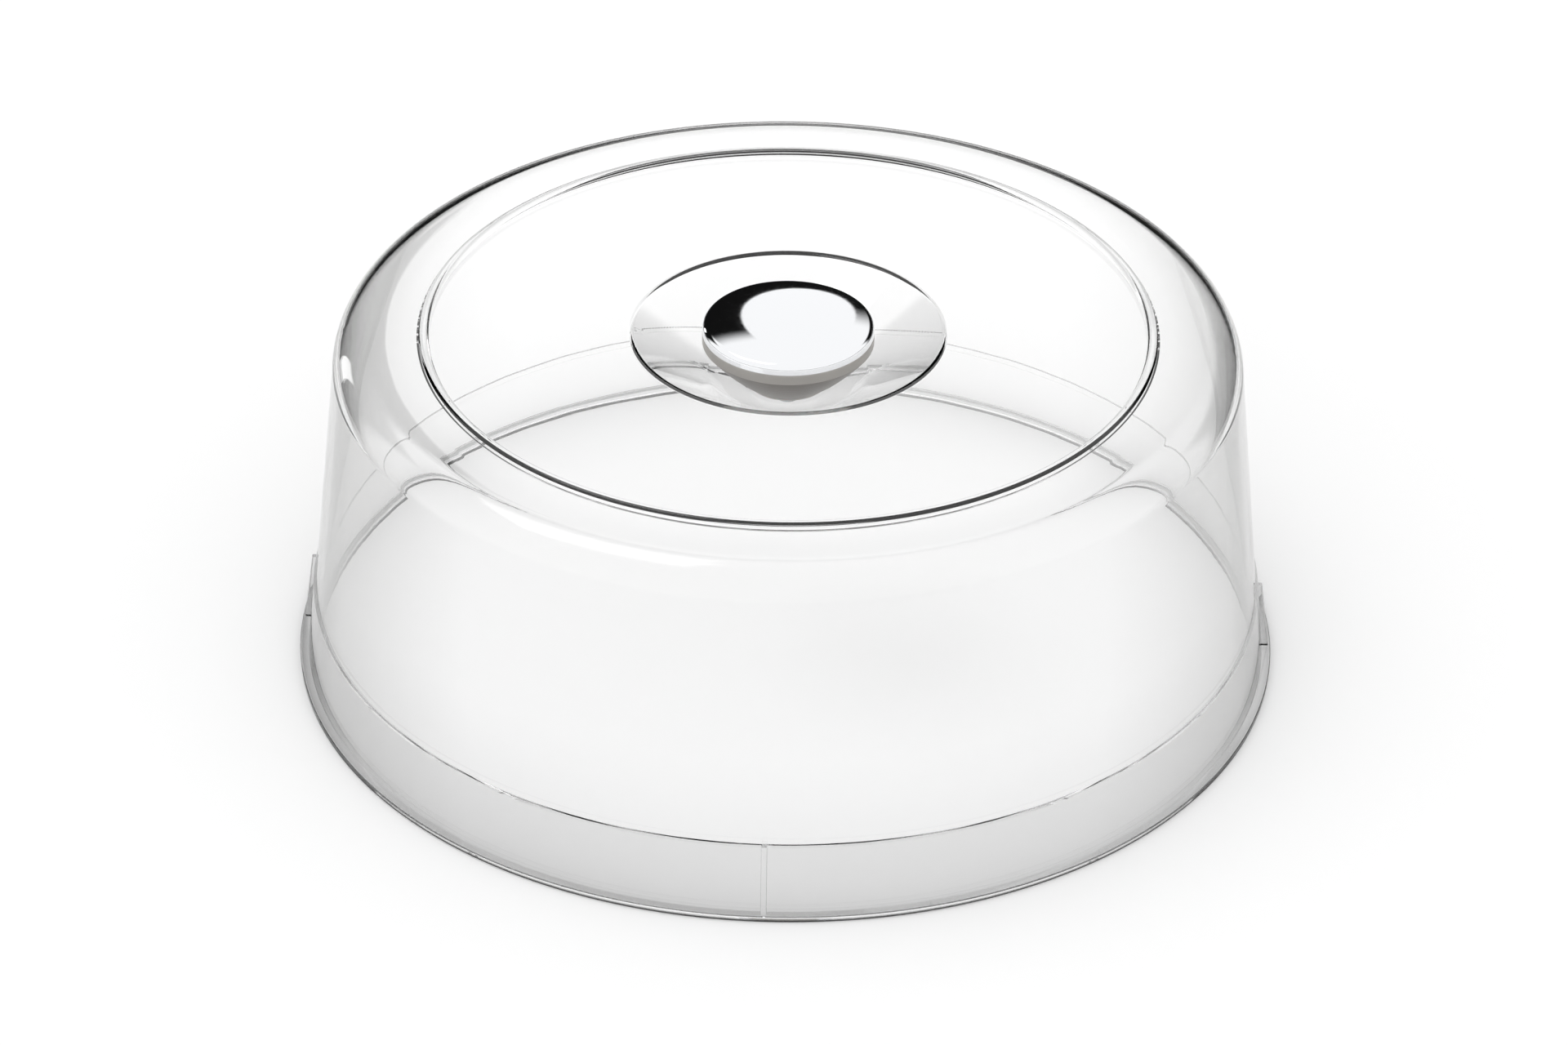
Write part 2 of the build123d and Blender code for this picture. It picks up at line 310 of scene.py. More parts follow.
# %% Corners of the wall's section
WALL, WALL_TAPER = 2.3, 5.65
HOLE_R, FLOOR_Z, FLOOR_END_R, FLOOR_EDGE = 2.3, 92.4, 19.16, 20.0
WELL_R, DISC_Z, WELL_EDGE = 47.0, 110.0, 3.0
RING_R, BEAD, BEAD_TOP = 109.576, 2.0, 1.7
BEAD_LEAN, BEAD_SIDE, BEAD_END, BEAD_EDGE = 0.2, 0.75, 1.25, 1.5
TOP_END_R, TOP_Z, TOP_EDGE = 122.618, 110.9, 120.0
SHOULDER_R, SHOULDER_Z, SHOULDER_EDGE = 135.895, 110.204, 11.0
LEDGE_Z, SKIRT_TOP_R, WALL_FOOT_R, RIB_TOP_R = 24.0, 145.124, 144.424, 146.374
SKIRT_FOOT_R, SKIRT_BASE_R, RIB_FOOT_R = 147.3, 147.498, 149.2
RIM_R, LIP_TOP, LIP_EDGE = 150.0, 2.0, 0.5

# Each corner is its radius, its height and the rounding there
well_line = [(HOLE_R, FLOOR_Z, 0), (FLOOR_END_R, FLOOR_Z, FLOOR_EDGE), (WELL_R, DISC_Z, WELL_EDGE)]
bead_line = [(RING_R - BEAD, DISC_Z, 0), (RING_R - BEAD + BEAD_LEAN, DISC_Z + BEAD_TOP, BEAD_EDGE),
             (RING_R + BEAD_SIDE, DISC_Z + BEAD_TOP, BEAD_EDGE), (RING_R + BEAD_END, TOP_Z, 0)]
wall_line = [(TOP_END_R, TOP_Z, TOP_EDGE), (SHOULDER_R, SHOULDER_Z, SHOULDER_EDGE),
             (WALL_FOOT_R, LEDGE_Z, 0)]
lip_line = [(SKIRT_TOP_R, LEDGE_Z, 0), (SKIRT_FOOT_R, LIP_TOP, 0), (RIB_FOOT_R, LIP_TOP, 0),
            (RIM_R, LIP_TOP, LIP_EDGE), (RIM_R, 0, LIP_EDGE)]
outer_line = well_line + bead_line + wall_line + lip_line

# A wall that is thicker than a step evens it out inside, so the guide has slopes for the two steps.
# The mould's core is cut with small edges there, and each one shows as its own thin line.
CORE_EDGE, RING_SLOPE = 0.4, 0.69
LEDGE_SLOPE_R, LEDGE_SLOPE_Z = 145.188, 23.35
ring_step = [(RING_R, DISC_Z, CORE_EDGE - WALL), (RING_R + RING_SLOPE, TOP_Z, 0)]
ledge_step = [(WALL_FOOT_R, LEDGE_Z, CORE_EDGE - WALL), (LEDGE_SLOPE_R, LEDGE_SLOPE_Z, 0)]
inner_guide = well_line + ring_step + wall_line[:-1] + ledge_step + [(SKIRT_BASE_R, 0, 0)]


def set_off(corners, gap):
    """The corners of the line that runs a gap below and inside a line of corners."""
    points = [Vector((r, z)) for r, z, _ in corners]
    ways = [(b - a).normalized() for a, b in zip(points, points[1:])]
    line = [(points[0].x, points[0].y - gap, 0)]
    for before, after, point, corner in zip(ways, ways[1:], points[1:], corners[1:]):
        left_turn = -before.angle_signed(after)
        spot = point + gap * Vector((before.y, -before.x)) + gap * math.tan(left_turn / 2) * before
        line.append((spot.x, spot.y, max(corner[2] + math.copysign(gap, left_turn), 0)))
    return line + [(points[-1].x + gap / ways[-1].y, points[-1].y, 0)]


inner_line = set_off(inner_guide, WALL)
print("inner line:", [(round(r, 2), round(z, 2), round(edge, 1)) for r, z, edge in inner_line])

# %% Draw a section and spin it
SEGMENT_ANGLE = 3.5
WELD = 0.002


def round_corner(bm, vert, radius):
    """Rounds a corner of a drawn line with a bevel."""
    a, b = (edge.other_vert(vert).co - vert.co for edge in vert.link_edges)
    turn = math.pi - a.angle(b)
    reach = radius * math.tan(turn / 2) * MM
    steps = max(2, round(math.degrees(turn) / SEGMENT_ANGLE))
    bmesh.ops.bevel(bm, geom=[vert], offset=reach, offset_type="OFFSET", segments=steps, profile=0.5,
                    affect="VERTICES", material=-1, clamp_overlap=False)


def draw_line(bm, corners, start=None):
    """Draws a line of corners in the plane of X and Z, from a vertex that may be there already."""
    verts = [bm.verts.new((r * MM, 0, z * MM)) for r, z, _ in corners]
    for a, b in zip(([start] if start else []) + verts, verts if start else verts[1:]):
        bm.edges.new((a, b))
    return verts


def spin_round(bm, turns):
    """Spins all that is drawn about Z, in turns of degrees and steps, and closes the shape."""
    last = bm.verts[:] + bm.edges[:]
    for degrees, steps in turns:
        last = bmesh.ops.spin(bm, geom=last, cent=(0, 0, 0), axis=(0, 0, 1), steps=steps,
                              angle=math.radians(degrees), use_merge=degrees == 360)["geom_last"]
    bmesh.ops.remove_doubles(bm, verts=bm.verts[:], dist=WELD * MM)
    bmesh.ops.recalc_face_normals(bm, faces=bm.faces[:])


def open_edges(bm):
    """How many edges lack a face on one side or have one too many. A closed shape has none."""
    return sum(len(edge.link_faces) != 2 for edge in bm.edges)


print("arcs are drawn in steps of about", SEGMENT_ANGLE, "degrees")

# %% Spin the cover
RIB_COUNT, RIB_TURN, RIB_WIDTH, RIB_EDGE = 4, -2.2, 1.7, 0.45
STEPS_BETWEEN_RIBS = 64
rib_pitch = 360 / RIB_COUNT
rib_angle = math.degrees(RIB_WIDTH / SKIRT_TOP_R)

bm = bmesh.new()
section = outer_line + inner_line[::-1]
verts = draw_line(bm, section)
bm.edges.new((verts[-1], verts[0]))
for vert, (_, _, edge) in zip(verts, section):
    if edge:
        round_corner(bm, vert, edge)
first_rib = Matrix.Rotation(math.radians(RIB_TURN - rib_angle / 2), 3, "Z")
bmesh.ops.rotate(bm, verts=bm.verts[:], cent=(0, 0, 0), matrix=first_rib)
spin_round(bm, [(rib_angle, 1), (rib_pitch - rib_angle, STEPS_BETWEEN_RIBS)] * RIB_COUNT)
print("cover:", len(bm.faces), "faces, open edges:", open_edges(bm))

# %% [markdown]
# The four ribs are upright guides on the skirt, from the ledge down to the lip. Each could be a
# separate box pushed into the wall, but inside clear plastic the hidden faces of the box would
# show. So a rib is pulled out of the skirt's own face at a narrow step. Its foot slides out along
# the lip, and the two faces that then lie on each other are taken away.

# %% Pull the ribs out of the skirt
# A panel's middle keeps a gap from lip and ledge. The rounded edges are the long upright ones.
PANEL_GAP, SAME_HEIGHT = 1, 0.01
UPRIGHT_EDGE, RIB_EDGE_STEPS = 5, 4


def ring_radius(place):
    """Distance from the axis in millimetres."""
    return math.hypot(place.x, place.y) / MM


def on_rib(face):
    """True for a face of one of the narrow steps."""
    middle = face.calc_center_median()
    angle = math.degrees(math.atan2(middle.y, middle.x)) - RIB_TURN
    return abs((angle + rib_pitch / 2) % rib_pitch - rib_pitch / 2) < rib_angle / 4


panels = [f for f in bm.faces if on_rib(f)
          and LIP_TOP + PANEL_GAP < f.calc_center_median().z / MM < LEDGE_Z - PANEL_GAP
          and ring_radius(f.calc_center_median()) > SKIRT_TOP_R]
pulled = bmesh.ops.extrude_discrete_faces(bm, faces=panels)["faces"]
for vert in {v for face in pulled for v in face.verts}:
    radius = RIB_TOP_R if vert.co.z / MM > LEDGE_Z / 2 else RIB_FOOT_R
    out = vert.co.xy.normalized() * (radius - ring_radius(vert.co)) * MM
    bmesh.ops.translate(bm, verts=[vert], vec=(out.x, out.y, 0))
covered = [f for f in bm.faces if on_rib(f)
           and all(abs(v.co.z / MM - LIP_TOP) < SAME_HEIGHT for v in f.verts)
           and ring_radius(f.calc_center_median()) < RIB_FOOT_R]
bmesh.ops.delete(bm, geom=covered, context="FACES")
bmesh.ops.remove_doubles(bm, verts=bm.verts[:], dist=WELD * MM)
rib_edges = [e for face in pulled if face.is_valid for e in face.edges
             if abs(e.verts[0].co.z - e.verts[1].co.z) > UPRIGHT_EDGE * MM]
bmesh.ops.bevel(bm, geom=rib_edges, offset=RIB_EDGE * MM, offset_type="OFFSET",
                segments=RIB_EDGE_STEPS, profile=0.5, affect="EDGES", material=-1, clamp_overlap=True)
bmesh.ops.recalc_face_normals(bm, faces=bm.faces[:])
print("ribs:", len(panels), "panels,", len(covered), "covered faces gone, open edges:", open_edges(bm))

# %% Make the cover's object
SHARP_ANGLE = 25


def finish_piece(bm, name, body, replaced, material):
    """Turns bm into a smooth piece that rides on a body and stands for a CAD node."""
    mesh = bpy.data.meshes.new(name)
    bm.to_mesh(mesh)
    bm.free()
    mesh.materials.append(material)
    mesh.shade_smooth()
    mesh.set_sharp_from_angle(angle=math.radians(SHARP_ANGLE))
    piece = bpy.data.objects.new(name, mesh)
    bpy.context.scene.collection.objects.link(piece)
    even = piece.modifiers.new("even_shading", "WEIGHTED_NORMAL")
    even.keep_sharp = True
    even.weight = 100
    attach(piece, body)
    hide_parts(replaced)
    print(name, "has", len(mesh.polygons), "faces and rides on", body)


clear_plastic, tree, output = new_material("moulded_clear_SAN")
finish_piece(bm, "clear_cover", "cover", "dome_shell", clear_plastic)

# %% [markdown]
# ### Moulded SAN
#
# Clear covers like this one are moulded in SAN, a hard glossy styrene plastic. It bends light more
# than acrylic does, which gives the strong dark lines at its edges. The mould is polished, so the
# skin is clean and smooth, but the melt leaves it very slightly wavy, and handling leaves a faint
# haze. Where a face is seen at a slant, a grey is painted into its colour, and it grows with the
# slant: painted shade for the darker look of the plastic's edges. The skirt's outside, and a little
# of the wall above it, is painted a light grey, as painted shade for the darker table that lies
# near the wall inside. Light from lamps goes straight through to the floor by a Transparent shader,
# because a path tracer finds bent light on a floor only with great effort. The lip's thin edge lets
# less of it through, and the foot of its rim is painted nearly black as painted contact shade, and
# so the lip draws its line of contact.

# %% Waves and haze in the plastic's skin
WAVE_SIZE, WAVE_DEPTH, WAVE_STRENGTH = 22, 0.4, 0.05
HAZE_SIZE, HAZE_START, HAZE_FULL, HAZE_ROUGHNESS = 3, 0.4, 0.8, 0.03

coords = add_node(tree, "ShaderNodeTexCoord")
waves = add_node(tree, "ShaderNodeTexNoise", {"Scale": 1 / (WAVE_SIZE * MM), "Detail": 1.0},
                 {"Vector": coords.outputs["Object"]})
wavy = add_node(tree, "ShaderNodeBump", {"Strength": WAVE_STRENGTH, "Distance": WAVE_DEPTH * MM},
                {"Height": waves.outputs["Fac"]})
haze = add_node(tree, "ShaderNodeTexNoise", {"Scale": 1 / (HAZE_SIZE * MM), "Detail": 4.0},
                {"Vector": coords.outputs["Object"]})
polish = add_node(tree, "ShaderNodeMapRange",
                  {"From Min": HAZE_START, "From Max": HAZE_FULL, "To Max": HAZE_ROUGHNESS},
                  {"Value": haze.outputs["Fac"]})
print("waves are", WAVE_SIZE, "mm long, and haze adds a roughness of up to", HAZE_ROUGHNESS)

# %% Places on the cover
CROWN_END_R, SIDE_START_R = 115, 125

flat = add_node(tree, "ShaderNodeVectorMath", {"operation": "MULTIPLY", 1: (1, 1, 0)},
                {0: coords.outputs["Object"]})
radius = add_node(tree, "ShaderNodeVectorMath", {"operation": "LENGTH"}, {0: flat.outputs[0]})
height = add_node(tree, "ShaderNodeSeparateXYZ", links={0: coords.outputs["Object"]})
off_crown = add_node(tree, "ShaderNodeMapRange",
                     {"From Min": CROWN_END_R * MM, "From Max": SIDE_START_R * MM},
                     {"Value": radius.outputs["Value"]})

# Wall and skirt have the same taper. With the taper taken out, the radius tells the outer skin from
# the inner one, which lies a whole wall deeper. The border is set at a share of the wall.
SKIN_BORDER = 0.8
upright = add_node(tree, "ShaderNodeMath",
                   {"operation": "MULTIPLY_ADD", 1: math.tan(math.radians(WALL_TAPER))},
                   {0: height.outputs["Z"], 2: radius.outputs["Value"]})
outer_skin = add_node(tree, "ShaderNodeMath",
                      {"operation": "GREATER_THAN", 1: (SKIRT_BASE_R - SKIN_BORDER * WALL) * MM},
                      {0: upright.outputs[0]})
side = add_node(tree, "ShaderNodeNewGeometry")
from_outside = add_node(tree, "ShaderNodeMath", {"operation": "SUBTRACT", "use_clamp": True},
                        {0: outer_skin.outputs[0], 1: side.outputs["Backfacing"]})
print("outer skin lies more than", round(SKIRT_BASE_R - SKIN_BORDER * WALL, 2), "mm out")

# %% Painted shade of slant, skirt and contact
# The slant is 0 where a face is seen straight on and 1 where it is seen edge on
# Greys painted in with the slant, the second where a face is seen nearly edge on: painted shade
SLANT_START, SLANT_FULL, SLANT_PAINTED_SHADE = 0.35, 0.8, "#BDBDBC"
ALONG_START, ALONG_FULL, EDGE_ON_PAINTED_SHADE = 0.72, 0.9, "#8A8A89"
# A grey painted on the skirt's outside, fading out up the wall: painted shade for the darker table
# inside
SHADE_TOP_Z, WALL_SHADE_SHARE, SKIRT_PAINTED_SHADE = 50, 0.3, "#D3D3D3"
# A near-black painted on the rim's outer foot, seen from outside: painted contact shade
CONTACT_SHADE_Z, CONTACT_PAINTED_SHADE = 0.8, "#101010"

slant = add_node(tree, "ShaderNodeLayerWeight", {"Blend": 0.5})
slanted = add_node(tree, "ShaderNodeMapRange", {"From Min": SLANT_START, "From Max": SLANT_FULL},
                   {"Value": slant.outputs["Facing"]})
slanted = add_node(tree, "ShaderNodeMath", {"operation": "MULTIPLY"},
                   {0: slanted.outputs[0], 1: off_crown.outputs[0]})
# Painted shade: the slanted faces off the crown are painted grey, and greyer where seen edge on
grey = add_node(tree, "ShaderNodeMix",
                {"data_type": "RGBA", COLOUR_A: (1, 1, 1, 1), COLOUR_B: linear(SLANT_PAINTED_SHADE)},
                {0: slanted.outputs[0]})
along = add_node(tree, "ShaderNodeMapRange", {"From Min": ALONG_START, "From Max": ALONG_FULL},
                 {"Value": slant.outputs["Facing"]})
along = add_node(tree, "ShaderNodeMath", {"operation": "MULTIPLY"},
                 {0: along.outputs[0], 1: off_crown.outputs[0]})
grey = add_node(tree, "ShaderNodeMix", {"data_type": "RGBA", COLOUR_B: linear(EDGE_ON_PAINTED_SHADE)},
                {0: along.outputs[0], COLOUR_A: grey.outputs[MIXED]})

# Painted shade: the skirt's outer skin is painted grey, and the wall above it less so towards the top
low = add_node(tree, "ShaderNodeMapRange",
               {"From Min": SHADE_TOP_Z * MM, "From Max": LEDGE_Z * MM, "To Max": WALL_SHADE_SHARE},
               {"Value": height.outputs["Z"]})
skirt_middle, skirt_half = (LEDGE_Z + LIP_TOP) / 2 * MM, (LEDGE_Z - LIP_TOP) / 2 * MM
on_skirt = add_node(tree, "ShaderNodeMath", {"operation": "COMPARE", 1: skirt_middle, 2: skirt_half},
                    {0: height.outputs["Z"]})
skirt_shade = add_node(tree, "ShaderNodeMath", {"operation": "MAXIMUM"},
                {0: low.outputs[0], 1: on_skirt.outputs[0]})
skirt_shade = add_node(tree, "ShaderNodeMath", {"operation": "MULTIPLY"},
                {0: skirt_shade.outputs[0], 1: from_outside.outputs[0]})
grey = add_node(tree, "ShaderNodeMix",
                {"data_type": "RGBA", "blend_type": "MULTIPLY", COLOUR_B: linear(SKIRT_PAINTED_SHADE)},
                {0: skirt_shade.outputs[0], COLOUR_A: grey.outputs[MIXED]})

# Painted contact shade: the lowest part of the rim's outer edge is painted nearly black
foot = add_node(tree, "ShaderNodeMapRange", {"From Min": LIP_TOP * MM, "From Max": CONTACT_SHADE_Z * MM},
                {"Value": height.outputs["Z"]})
on_rim = add_node(tree, "ShaderNodeMath", {"operation": "GREATER_THAN", 1: (RIM_R - LIP_EDGE) * MM},
                  {0: radius.outputs["Value"]})
contact = add_node(tree, "ShaderNodeMath", {"operation": "MULTIPLY"},
                   {0: foot.outputs[0], 1: on_rim.outputs[0]})
contact = add_node(tree, "ShaderNodeMath", {"operation": "MULTIPLY"},
                   {0: contact.outputs[0], 1: from_outside.outputs[0]})
grey = add_node(tree, "ShaderNodeMix", {"data_type": "RGBA", COLOUR_B: linear(CONTACT_PAINTED_SHADE)},
                {0: contact.outputs[0], COLOUR_A: grey.outputs[MIXED]})
print("greys:", SLANT_PAINTED_SHADE, EDGE_ON_PAINTED_SHADE, "slanted,", SKIRT_PAINTED_SHADE, "worn,", CONTACT_PAINTED_SHADE, "at the foot")

# %% What the plastic does with light
SAN_BENDING = 1.57

# The share of a lamp's light that passes a face straight on, and a slanted face or the lip's edge
PASSES, PASSES_EDGE, EDGE_POWER = 0.95, 0.25, 4.0
THIN_R, THINNEST_R = 149.4, 149.9

plastic = add_node(tree, "ShaderNodeBsdfPrincipled",
                   {"Transmission Weight": 1.0, "IOR": SAN_BENDING},
                   {"Base Color": grey.outputs[MIXED], "Roughness": polish.outputs[0],
                    "Normal": wavy.outputs[0]})
glance = add_node(tree, "ShaderNodeMath", {"operation": "POWER", 1: EDGE_POWER},
                  {0: slant.outputs["Facing"]})
thin = add_node(tree, "ShaderNodeMapRange", {"From Min": THIN_R * MM, "From Max": THINNEST_R * MM},
                {"Value": radius.outputs["Value"]})
glance = add_node(tree, "ShaderNodeMath", {"operation": "MAXIMUM"},
                  {0: glance.outputs[0], 1: thin.outputs[0]})
passed = add_node(tree, "ShaderNodeMix",
                  {"data_type": "RGBA", COLOUR_A: (PASSES, PASSES, PASSES, 1),
                   COLOUR_B: (PASSES_EDGE, PASSES_EDGE, PASSES_EDGE, 1)}, {0: glance.outputs[0]})
through = add_node(tree, "ShaderNodeBsdfTransparent", links={"Color": passed.outputs[MIXED]})
path = add_node(tree, "ShaderNodeLightPath")
lit = add_node(tree, "ShaderNodeMath", {"operation": "MAXIMUM"},
               {0: path.outputs["Is Shadow Ray"], 1: path.outputs["Is Diffuse Ray"]})
clear = add_node(tree, "ShaderNodeMixShader",
                 links={0: lit.outputs[0], 1: plastic.outputs[0], 2: through.outputs[0]})
tree.links.new(clear.outputs[0], output.inputs["Surface"])
print("SAN bends light by", SAN_BENDING)

# %% [markdown]
# ## The knob
#
# The knob has two pieces with a fine joint line between them: a satin bowl that the fingers hook
# under, and a chrome cap set on its rim. Both are turned shapes, so both are lathed from a section
# as the cover is. The cap's top is a very flat dome, and a mirror shows the smallest fault in it,
# so its arc is spun about its own centre, in equal steps, and isn't drawn from corners.

# %% Lathe the chrome cap
KNOB_R, KNOB_STEPS = 25.87, 192
BODY_RIM_Z, CAP_EDGE_Z, CAP_TOP_Z = 109.3, 112.5, 114.7
CAP_EDGE, JOINT_EDGE = 2.0, 0.25
CROWN_RADIUS = (KNOB_R ** 2 + (CAP_TOP_Z - CAP_EDGE_Z) ** 2) / (2 * (CAP_TOP_Z - CAP_EDGE_Z))
CROWN_STEPS = 13

# A ring below the cap centres it on the bowl, and the cap's hollow side is a flat cone
CENTRING_R, CENTRING_IN_R, CENTRING_Z = 23.32, 22.02, 107.8
HOLLOW_SIDE_Z, HOLLOW_TOP_Z = 111.25, 113.1


def draw_arc(bm, start, centre, degrees, steps):
    """Spins a vertex about a centre in the plane of X and Z. Returns the arc's last vertex."""
    made = bmesh.ops.spin(bm, geom=[start], cent=(centre[0] * MM, 0, centre[1] * MM), axis=(0, 1, 0),
                          angle=math.radians(degrees), steps=steps, use_merge=False)
    return next(g for g in made["geom_last"] if isinstance(g, bmesh.types.BMVert))


bm = bmesh.new()
top = draw_line(bm, [(0, CAP_TOP_Z, 0)])[0]
crown_angle = math.degrees(math.asin(KNOB_R / CROWN_RADIUS))
corner = draw_arc(bm, top, (0, CAP_TOP_Z - CROWN_RADIUS), crown_angle, CROWN_STEPS)
print("crown arc ends at", round(corner.co.x / MM, 2), round(corner.co.z / MM, 2))
cap_line = [(KNOB_R, BODY_RIM_Z, JOINT_EDGE), (CENTRING_R, BODY_RIM_Z, 0),
            (CENTRING_R, CENTRING_Z, JOINT_EDGE), (CENTRING_IN_R, CENTRING_Z, JOINT_EDGE),
            (CENTRING_IN_R, HOLLOW_SIDE_Z, 0), (0, HOLLOW_TOP_Z, 0)]
verts = draw_line(bm, cap_line, corner)
for vert, edge in zip([corner] + verts, [CAP_EDGE] + [c[2] for c in cap_line]):
    if edge:
        round_corner(bm, vert, edge)
spin_round(bm, [(360, KNOB_STEPS)])
print("open edges:", open_edges(bm))
chrome, chrome_tree, chrome_output = new_material("chrome_plate")
finish_piece(bm, "chrome_cap", "knob", "knob_cap", chrome)

# %% Lathe the satin bowl
FOOT_R, FOOT_Z, FOOT_EDGE = 12.5, 93.1, 0.6
BAND_Z, BAND_EDGE = 106.2, 0.5
BOWL_BULGE, BOWL_STEPS = 0.6, 14

# Inside are the insert's bore, the seat of the cap's ring, and a hollow round the bore's post
BORE_R, BORE_TOP_Z = 3.02, 102.5
SEAT_R, SEAT_Z = 23.47, 107.4
HOLLOW_R, HOLLOW_Z = 11.3, 95.5
POST_R, POST_TOP_Z = 6, 104.9

foot, band = Vector((FOOT_R, FOOT_Z)), Vector((KNOB_R, BAND_Z))
half = (band - foot).length / 2
bowl_radius = (half ** 2 + BOWL_BULGE ** 2) / (2 * BOWL_BULGE)
way = (band - foot).normalized()
centre = (foot + band) / 2 + Vector((-way.y, way.x)) * (bowl_radius - BOWL_BULGE)

bm = bmesh.new()
bore_line = [(0, BORE_TOP_Z, 0), (BORE_R, BORE_TOP_Z, 0), (BORE_R, FOOT_Z, 0), (FOOT_R, FOOT_Z, 0)]
bore = draw_line(bm, bore_line)
rim = draw_arc(bm, bore[-1], centre, -2 * math.degrees(math.asin(half / bowl_radius)), BOWL_STEPS)
print("bowl arc ends at", round(rim.co.x / MM, 2), round(rim.co.z / MM, 2))
seat_line = [(KNOB_R, BODY_RIM_Z, 0), (SEAT_R, BODY_RIM_Z, 0), (SEAT_R, SEAT_Z, 0)]
post_line = [(HOLLOW_R, HOLLOW_Z, 0), (POST_R, HOLLOW_Z, 0), (POST_R, POST_TOP_Z, 0), (0, POST_TOP_Z, 0)]
rest = draw_line(bm, seat_line + post_line, rim)
for vert, edge in [(bore[-1], FOOT_EDGE), (rim, BAND_EDGE), (rest[0], JOINT_EDGE)]:
    round_corner(bm, vert, edge)
spin_round(bm, [(360, KNOB_STEPS)])
print("open edges:", open_edges(bm))
satin, satin_tree, satin_output = new_material("satin_silver_finish")
finish_piece(bm, "satin_bowl", "knob", "knob_body", satin)

# %% [markdown]
# ### Chrome plate and satin silver
#
# Both finishes are metal on plastic. The cap is bright chrome, a clean mirror with only the finest
# wiping marks, so its colour is nearly white and its look comes from the studio. The bowl has a
# satin layer that scatters the reflection, with very fine rings from the way it was turned and
# sprayed. A metal's colour is its reflection colour, so the bowl's grey is set there and not by a
# darker light.

# %% Chrome
CHROME_WHITE = "#E4E5E7"
WIPE_SIZE, WIPE_START, WIPE_FULL = 1.2, 0.3, 0.75
CLEAN_ROUGHNESS, WIPED_ROUGHNESS = 0.02, 0.06

coords = add_node(chrome_tree, "ShaderNodeTexCoord")
wipes = add_node(chrome_tree, "ShaderNodeTexNoise", {"Scale": 1 / (WIPE_SIZE * MM), "Detail": 5.0},
                 {"Vector": coords.outputs["Object"]})
mirror_rough = add_node(chrome_tree, "ShaderNodeMapRange",
                        {"From Min": WIPE_START, "From Max": WIPE_FULL,
                         "To Min": CLEAN_ROUGHNESS, "To Max": WIPED_ROUGHNESS},
                        {"Value": wipes.outputs["Fac"]})
mirror = add_node(chrome_tree, "ShaderNodeBsdfPrincipled",
                  {"Base Color": linear(CHROME_WHITE), "Metallic": 1.0},
                  {"Roughness": mirror_rough.outputs[0]})
chrome_tree.links.new(mirror.outputs[0], chrome_output.inputs["Surface"])
print("chrome is", [round(v, 2) for v in linear(CHROME_WHITE)[:3]])

# %% Satin silver
# The bowl's two greys are its own tone; the band's lighter grey is a painted highlight
BOWL_GREY, BOWL_GREY_LIGHT, BAND_PAINTED_HIGHLIGHT = "#6E6A66", "#7A7672", "#A8A5A1"
RING_SMOOTH, RING_ROUGH = 0.30, 0.42
GRAIN_SIZE, GRAIN_STRENGTH, GRAIN_DEPTH = 0.25, 0.12, 0.02

# A wave texture takes 0.314 of its units for each ring. A real ring of 0.35 mm gets a tenth of a unit,
# so the rings come out three times as coarse, because finer ones wouldn't show.
RING_SIZE, RING_UNITS = 0.35, 0.1

coords = add_node(satin_tree, "ShaderNodeTexCoord")
rings = add_node(satin_tree, "ShaderNodeTexWave",
                 {"wave_type": "RINGS", "rings_direction": "Z", "Scale": RING_UNITS / (RING_SIZE * MM),
                  "Distortion": 0.6, "Detail": 2.0, "Detail Scale": 1.5},
                 {"Vector": coords.outputs["Object"]})
grain = add_node(satin_tree, "ShaderNodeTexNoise", {"Scale": 1 / (GRAIN_SIZE * MM), "Detail": 3.0},
                 {"Vector": coords.outputs["Object"]})
satin_rough = add_node(satin_tree, "ShaderNodeMapRange", {"To Min": RING_SMOOTH, "To Max": RING_ROUGH},
                       {"Value": rings.outputs["Fac"]})
fine = add_node(satin_tree, "ShaderNodeBump",
                {"Strength": GRAIN_STRENGTH, "Distance": GRAIN_DEPTH * MM},
                {"Height": grain.outputs["Fac"]})
tint = add_node(satin_tree, "ShaderNodeMix",
                {"data_type": "RGBA", COLOUR_A: linear(BOWL_GREY), COLOUR_B: linear(BOWL_GREY_LIGHT)},
                {0: rings.outputs["Fac"]})
height = add_node(satin_tree, "ShaderNodeSeparateXYZ", links={0: coords.outputs["Object"]})
# Painted highlight: the upright band above the bowl is painted lighter than the same satin below it
on_band = add_node(satin_tree, "ShaderNodeMath", {"operation": "GREATER_THAN", 1: BAND_Z * MM},
                   {0: height.outputs["Z"]})
tone = add_node(satin_tree, "ShaderNodeMix", {"data_type": "RGBA", COLOUR_B: linear(BAND_PAINTED_HIGHLIGHT)},
                {0: on_band.outputs[0], COLOUR_A: tint.outputs[MIXED]})
bowl = add_node(satin_tree, "ShaderNodeBsdfPrincipled", {"Metallic": 1.0},
                {"Base Color": tone.outputs[MIXED], "Roughness": satin_rough.outputs[0],
                 "Normal": fine.outputs[0]})
satin_tree.links.new(bowl.outputs[0], satin_output.inputs["Surface"])
print("bowl is", [round(v, 2) for v in linear(BOWL_GREY)[:3]])

# %% [markdown]
# ## The hidden fastening
#
# A brass insert in the knob takes one screw from below. Under the screw's head lie a steel washer
# and a soft one, and a thin gasket lies between the knob's foot and the well. These nodes keep
# their CAD shapes, since they are plain turned parts, and get the finishes of the real ones: zinc
# plate has a faint mottled spangle, brass dulls in patches, and silicone is matt and a little
# translucent.

# %% Zinc plate and brass
MOTTLE_STRENGTH, MOTTLE_DEPTH = 0.1, 0.02


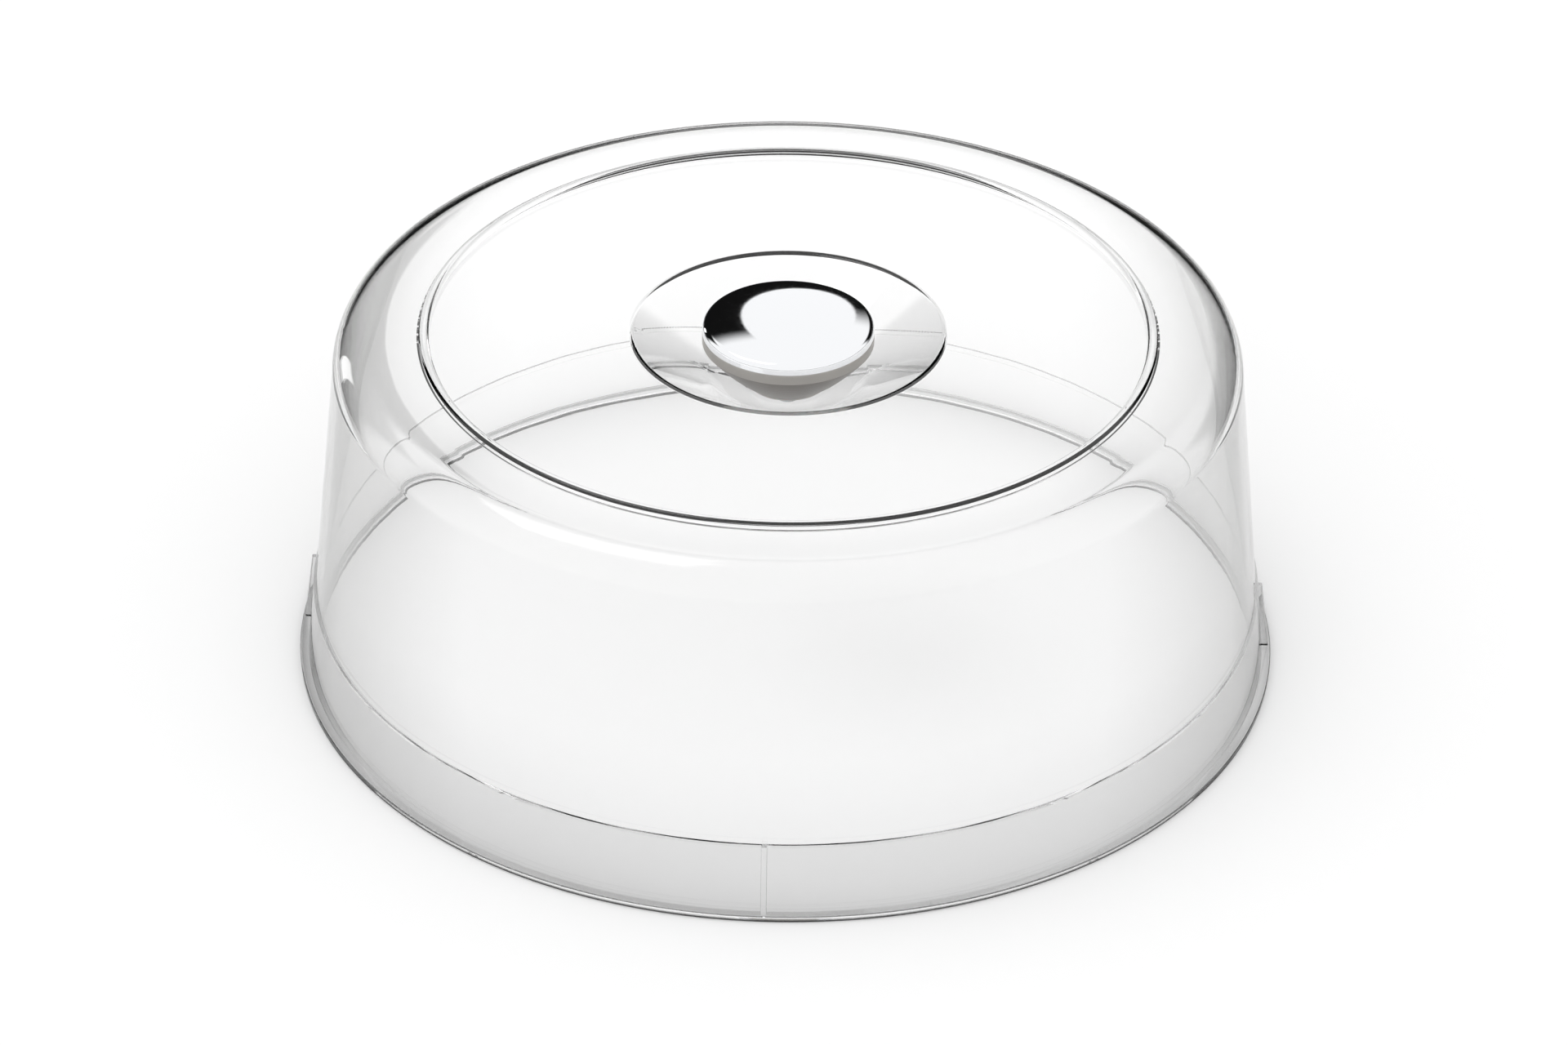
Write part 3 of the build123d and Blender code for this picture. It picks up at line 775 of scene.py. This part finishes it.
def mottled_metal(name, light, dark, patch, smooth, rough):
    """A metal whose colour and polish drift between two values in patches of a size in millimetres."""
    material, tree, output = new_material(name)
    coords = add_node(tree, "ShaderNodeTexCoord")
    patches = add_node(tree, "ShaderNodeTexNoise", {"Scale": 1 / (patch * MM), "Detail": 4.0},
                       {"Vector": coords.outputs["Object"]})
    colour = add_node(tree, "ShaderNodeMix",
                      {"data_type": "RGBA", COLOUR_A: linear(light), COLOUR_B: linear(dark)},
                      {0: patches.outputs["Fac"]})
    polish = add_node(tree, "ShaderNodeMapRange", {"To Min": smooth, "To Max": rough},
                      {"Value": patches.outputs["Fac"]})
    relief = add_node(tree, "ShaderNodeBump",
                      {"Strength": MOTTLE_STRENGTH, "Distance": MOTTLE_DEPTH * MM},
                      {"Height": patches.outputs["Fac"]})
    metal = add_node(tree, "ShaderNodeBsdfPrincipled", {"Metallic": 1.0},
                     {"Base Color": colour.outputs[MIXED], "Roughness": polish.outputs[0],
                      "Normal": relief.outputs[0]})
    tree.links.new(metal.outputs[0], output.inputs["Surface"])
    print(name, "has patches of", patch, "mm")
    return material


zinc = mottled_metal("zinc_plated_steel", "#C6C9CB", "#A3A7AA", patch=1.4, smooth=0.26, rough=0.40)
brass = mottled_metal("turned_brass", "#D2B068", "#B08B48", patch=1.8, smooth=0.24, rough=0.42)

# %% Silicone
CLOUD_SIZE, CLOUD_SMOOTH, CLOUD_ROUGH = 2.5, 0.45, 0.6
GLOW_SHARE, GLOW_DEPTH = 0.2, 1.0

silicone, tree, output = new_material("translucent_silicone")
coords = add_node(tree, "ShaderNodeTexCoord")
cloud = add_node(tree, "ShaderNodeTexNoise", {"Scale": 1 / (CLOUD_SIZE * MM), "Detail": 2.0},
                 {"Vector": coords.outputs["Object"]})
milk = add_node(tree, "ShaderNodeMix",
                {"data_type": "RGBA", COLOUR_A: linear("#D9DAD8"), COLOUR_B: linear("#C8C9C7")},
                {0: cloud.outputs["Fac"]})
matt = add_node(tree, "ShaderNodeMapRange", {"To Min": CLOUD_SMOOTH, "To Max": CLOUD_ROUGH},
                {"Value": cloud.outputs["Fac"]})
soft = add_node(tree, "ShaderNodeBsdfPrincipled",
                {"Subsurface Weight": GLOW_SHARE, "Subsurface Scale": GLOW_DEPTH * MM},
                {"Base Color": milk.outputs[MIXED], "Roughness": matt.outputs[0]})
tree.links.new(soft.outputs[0], output.inputs["Surface"])
print("silicone lets light in by about", GLOW_DEPTH, "mm")

# %% Give the small parts their finishes
for node, material in [("fixing_screw", zinc), ("steel_washer", zinc), ("threaded_insert", brass),
                       ("foot_gasket", silicone), ("seal_washer", silicone)]:
    for place in nodes[node].material_slots:
        place.material = material
    print(node, "is", material.name)
